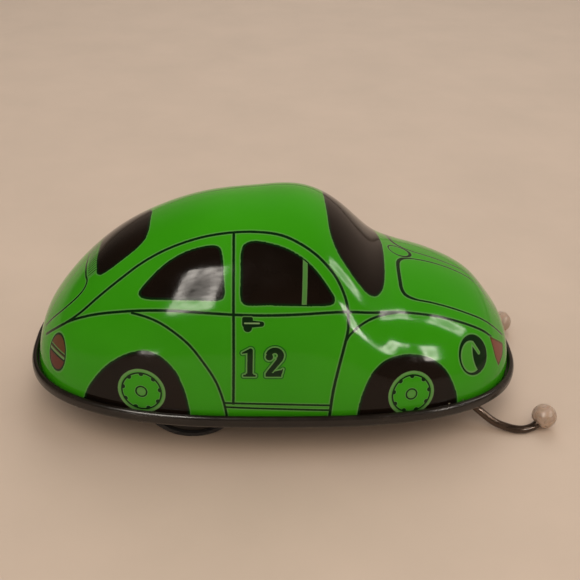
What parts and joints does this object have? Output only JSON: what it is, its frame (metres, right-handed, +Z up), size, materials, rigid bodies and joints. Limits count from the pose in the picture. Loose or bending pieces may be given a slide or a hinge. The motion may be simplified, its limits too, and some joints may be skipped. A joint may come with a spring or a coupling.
{
  "type": "friction tin car",
  "caption": "Pressed tin saloon car with a printed green body on a black pan, a geared flywheel friction drive on the rear axle and a wire feeler with ball ends.",
  "frame": {"origin": "on the ground under the middle of the whole length, from the tail of the pan rim to the front of the feeler balls, on the centre plane", "axes": "+X to the nose, +Y to the car's left, +Z up; the side in the picture is -Y"},
  "size_m": [0.1196, 0.061, 0.0489],
  "materials": {
    "green_litho": "gloss printed tin",
    "black_litho": "gloss black enamel",
    "bright_tin": "tinplate",
    "steel": "drawn steel",
    "brass": "cut brass",
    "flywheel_metal": "cast, turned on the rim",
    "tyre_rubber": "matt rubber",
    "dark_wire": "dark oiled wire",
    "milky_plastic": "translucent",
    "black_plastic": "moulded"
  },
  "bodies": {
    "chassis": {"body_shell": "green_litho", "base_plate": "black_litho", "front_bracket": "black_litho", "motor_plate_left": "bright_tin", "motor_plate_right": "bright_tin", "feeler_clip_left": "bright_tin", "feeler_clip_right": "bright_tin", "plate_pillar_front": "steel", "plate_pillar_lower": "steel", "plate_pillar_rear": "steel", "motor_rivet_front_left": "steel", "motor_rivet_front_right": "steel", "motor_rivet_rear_left": "steel", "motor_rivet_rear_right": "steel", "bracket_rivet_left": "steel", "bracket_rivet_right": "steel", "clip_rivet_left": "steel", "clip_rivet_right": "steel"},
    "drive_assembly": {"drive_axle": "steel", "axle_gear": "bright_tin", "drive_wheel_left": "black_litho", "drive_wheel_right": "black_litho", "drive_tyre_left": "tyre_rubber", "drive_tyre_right": "tyre_rubber"},
    "middle_assembly": {"middle_arbor": "steel", "middle_pinion": "brass", "middle_gear": "bright_tin"},
    "flywheel_assembly": {"flywheel_arbor": "steel", "flywheel_pinion": "brass", "flywheel": "flywheel_metal"},
    "front_axle_assembly": {"front_axle": "steel", "front_wheel_left": "black_plastic", "front_wheel_right": "black_plastic"},
    "feeler_assembly": {"feeler_wire": "dark_wire", "feeler_ball_left": "milky_plastic", "feeler_ball_right": "milky_plastic"}
  },
  "joints": [
    {"name": "flywheel_spin", "type": "hinge", "parent": "chassis", "child": "flywheel_assembly", "pos_m": [-0.00734, 0, 0.0196], "axis": [0, 1, 0], "continuous": true},
    {"name": "middle_spin", "type": "hinge", "parent": "chassis", "child": "middle_assembly", "pos_m": [-0.01676, 0, 0.01794], "axis": [0, 1, 0], "continuous": true},
    {"name": "drive_spin", "type": "hinge", "parent": "chassis", "child": "drive_assembly", "pos_m": [-0.02258, 0, 0.011], "axis": [0, 1, 0], "continuous": true},
    {"name": "front_axle_spin", "type": "hinge", "parent": "chassis", "child": "front_axle_assembly", "pos_m": [0.02322, 0, 0.004], "axis": [0, 1, 0], "continuous": true},
    {"name": "feeler_swing", "type": "hinge", "parent": "chassis", "child": "feeler_assembly", "pos_m": [0.03872, 0, 0.0074], "axis": [0, 1, 0], "range_deg": [-8, 12]}
  ],
  "couplings": [
    {"joint": "middle_spin", "follows": "flywheel_spin", "ratio": -0.26667},
    {"joint": "drive_spin", "follows": "flywheel_spin", "ratio": 0.07619}
  ]
}
